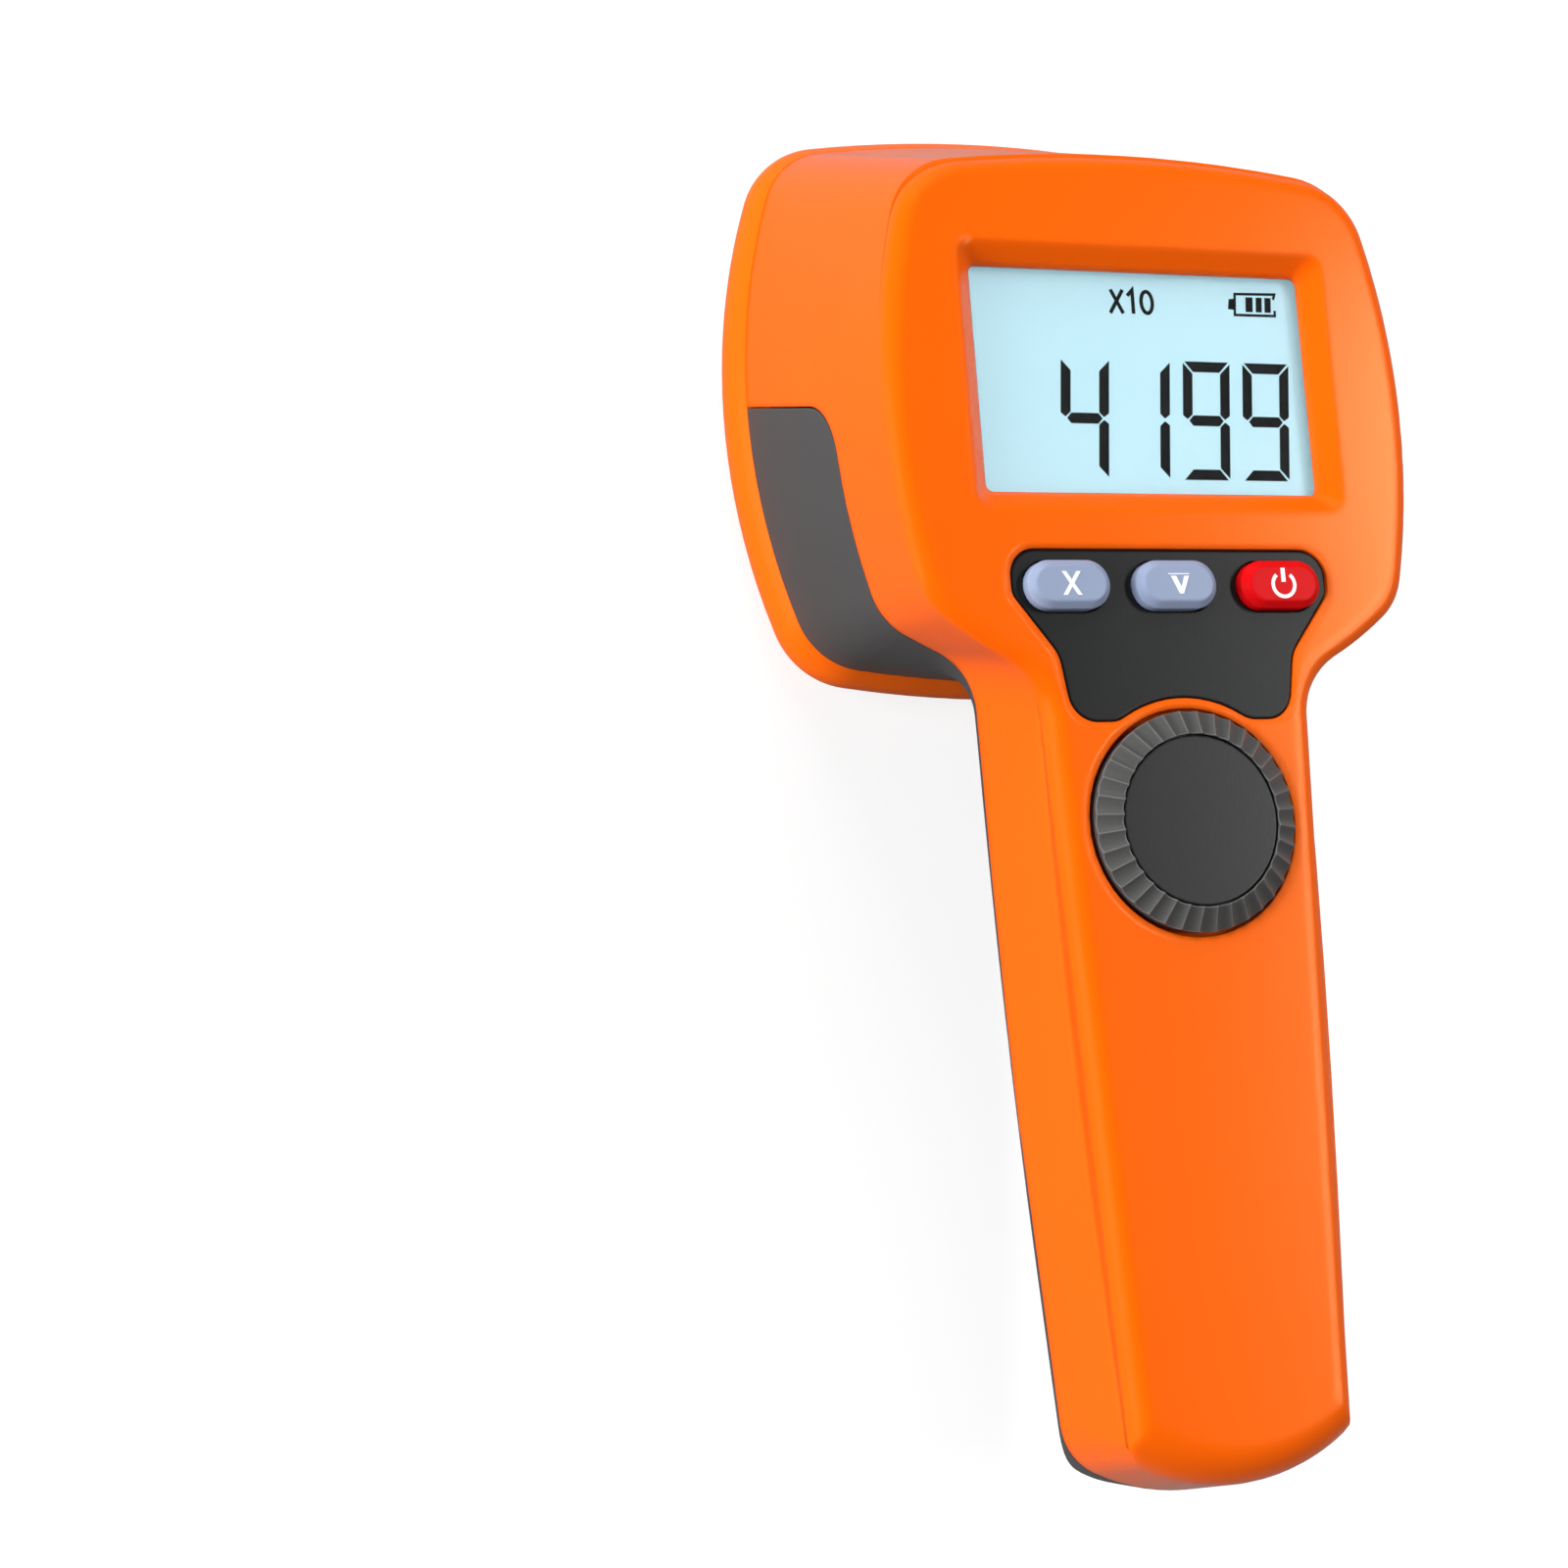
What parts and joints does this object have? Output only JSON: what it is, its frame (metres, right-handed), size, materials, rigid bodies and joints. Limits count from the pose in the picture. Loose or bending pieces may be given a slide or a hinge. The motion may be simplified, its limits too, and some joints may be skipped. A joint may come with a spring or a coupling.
{
  "type": "stroboscope tachometer",
  "caption": "Handheld LED stroboscope tachometer: square head with a display on one side and lenses on the other, keys, a rotary knob and a tapered handle.",
  "frame": {"origin": "middle of the whole outline, on the resting plane under the lamp bezel's crest", "axes": "+Z out of the display, +Y towards the top of the display, the handle points to -Y"},
  "size_m": [0.0978, 0.221, 0.0619],
  "materials": {
    "orange_shell": "fine satin",
    "orange_bumper": "satin",
    "grey_shell": "fine grain",
    "lamp_plate": "fine grain",
    "window": "clear",
    "lens": "clear",
    "panel": "satin",
    "blue_key": "satin",
    "red_key": "satin",
    "knob": "satin",
    "knob_cap": "satin",
    "steel": "satin",
    "switch_body": "matte",
    "plunger": "matte",
    "circuit_board": "satin",
    "led_board": "satin",
    "heat_sink": "satin",
    "lcd_glass": "smooth",
    "light_guide": "smooth",
    "inner_frame": "matte",
    "led": "smooth",
    "battery": "satin"
  },
  "bodies": {
    "housing": {"front_shell": "orange_shell", "rear_shell": "grey_shell", "lamp_bezel": "orange_bumper", "lamp_plate": "lamp_plate", "display_window": "window", "control_panel": "panel", "encoder_body": "switch_body", "main_board": "circuit_board", "board_screws": "steel", "case_screws": "steel", "lcd_panel": "lcd_glass", "backlight": "light_guide", "display_frame": "inner_frame", "battery_pack": "battery", "heat_sink": "heat_sink", "heat_sink_screws": "steel", "led_board": "led_board", "lens_top": "lens", "lens_holder_top": "inner_frame", "led_top": "led", "lens_left": "lens", "lens_holder_left": "inner_frame", "led_left": "led", "lens_right": "lens", "lens_holder_right": "inner_frame", "led_right": "led", "multiply_switch": "switch_body", "down_switch": "switch_body", "power_switch": "switch_body"},
    "knob_unit": {"knob": "knob", "knob_cap": "knob_cap", "encoder_shaft": "steel"},
    "multiply_key": {"multiply_button": "blue_key", "multiply_plunger": "plunger"},
    "down_key": {"down_button": "blue_key", "down_plunger": "plunger"},
    "power_key": {"power_button": "red_key", "power_plunger": "plunger"}
  },
  "joints": [
    {"name": "knob_turn", "type": "hinge", "parent": "housing", "child": "knob_unit", "pos_m": [0, -0.0124, 0.0565], "axis": [0, 0, 1], "continuous": true},
    {"name": "multiply_press", "type": "slide", "parent": "housing", "child": "multiply_key", "axis": [0, 0, -1], "range_m": [0, 0.0008], "stiffness_N_per_m": 400},
    {"name": "down_press", "type": "slide", "parent": "housing", "child": "down_key", "axis": [0, 0, -1], "range_m": [0, 0.0008], "stiffness_N_per_m": 400},
    {"name": "power_press", "type": "slide", "parent": "housing", "child": "power_key", "axis": [0, 0, -1], "range_m": [0, 0.0008], "stiffness_N_per_m": 400}
  ]
}
